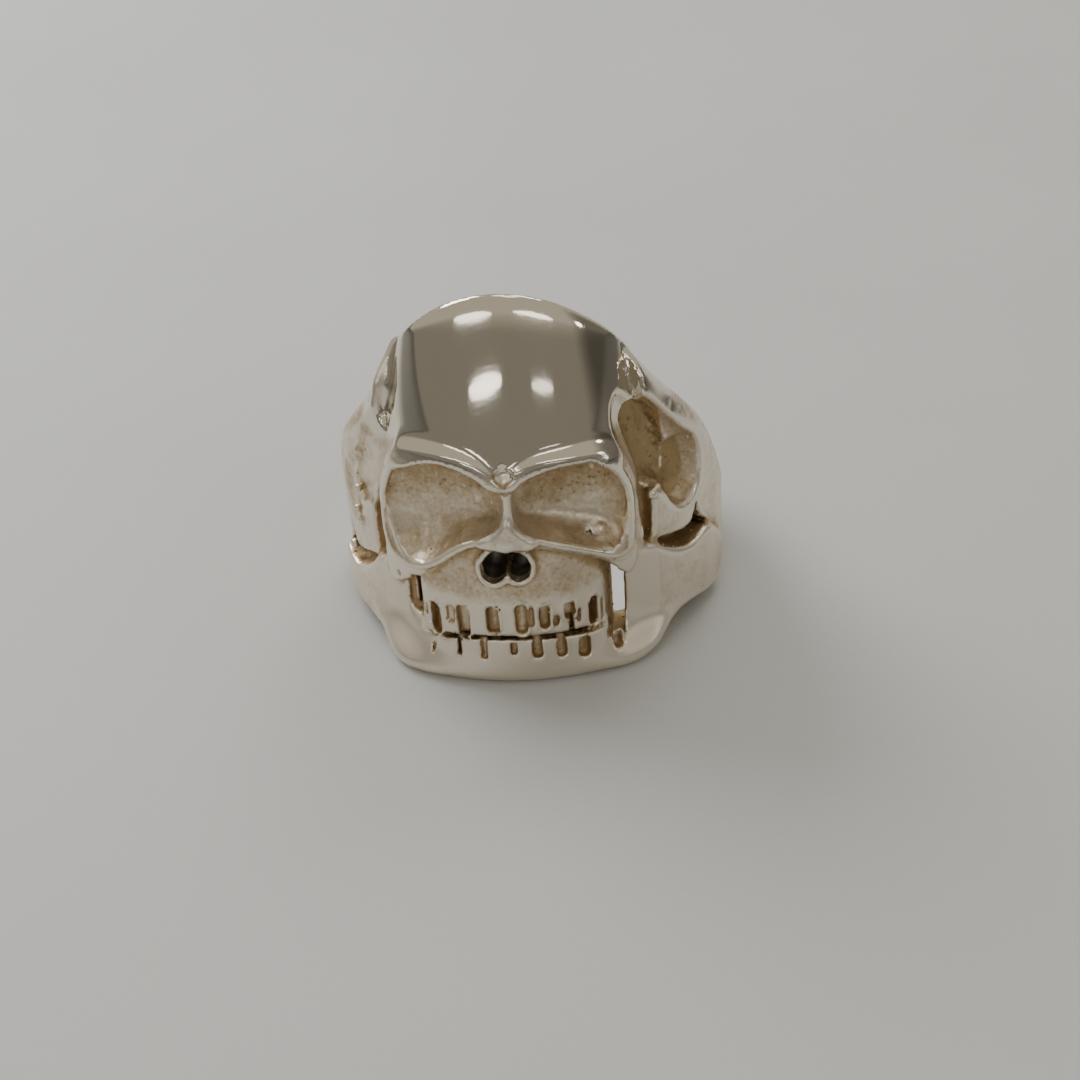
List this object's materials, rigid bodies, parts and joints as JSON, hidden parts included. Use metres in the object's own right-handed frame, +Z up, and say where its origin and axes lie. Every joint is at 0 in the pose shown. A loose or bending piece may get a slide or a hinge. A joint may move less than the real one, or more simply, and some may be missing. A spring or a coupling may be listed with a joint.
{
  "type": "skull ring",
  "caption": "Cast silver finger ring shaped as a human skull with its lower jaw, whose temples and jaw branches run back into a plain band.",
  "frame": {"origin": "on the finger hole's axis, at the level of the surface that the ring lies on", "axes": "+Z up along the finger hole's axis towards the crown of the skull, the face looks towards -Y, +X is the right side of the picture"},
  "size_m": [0.0264, 0.0277, 0.0259],
  "materials": {
    "silver": "polished cast silver, satin on the jaw and tarnished brown in the hollows"
  },
  "bodies": {
    "root": {"skull_ring": "silver"}
  },
  "joints": []
}
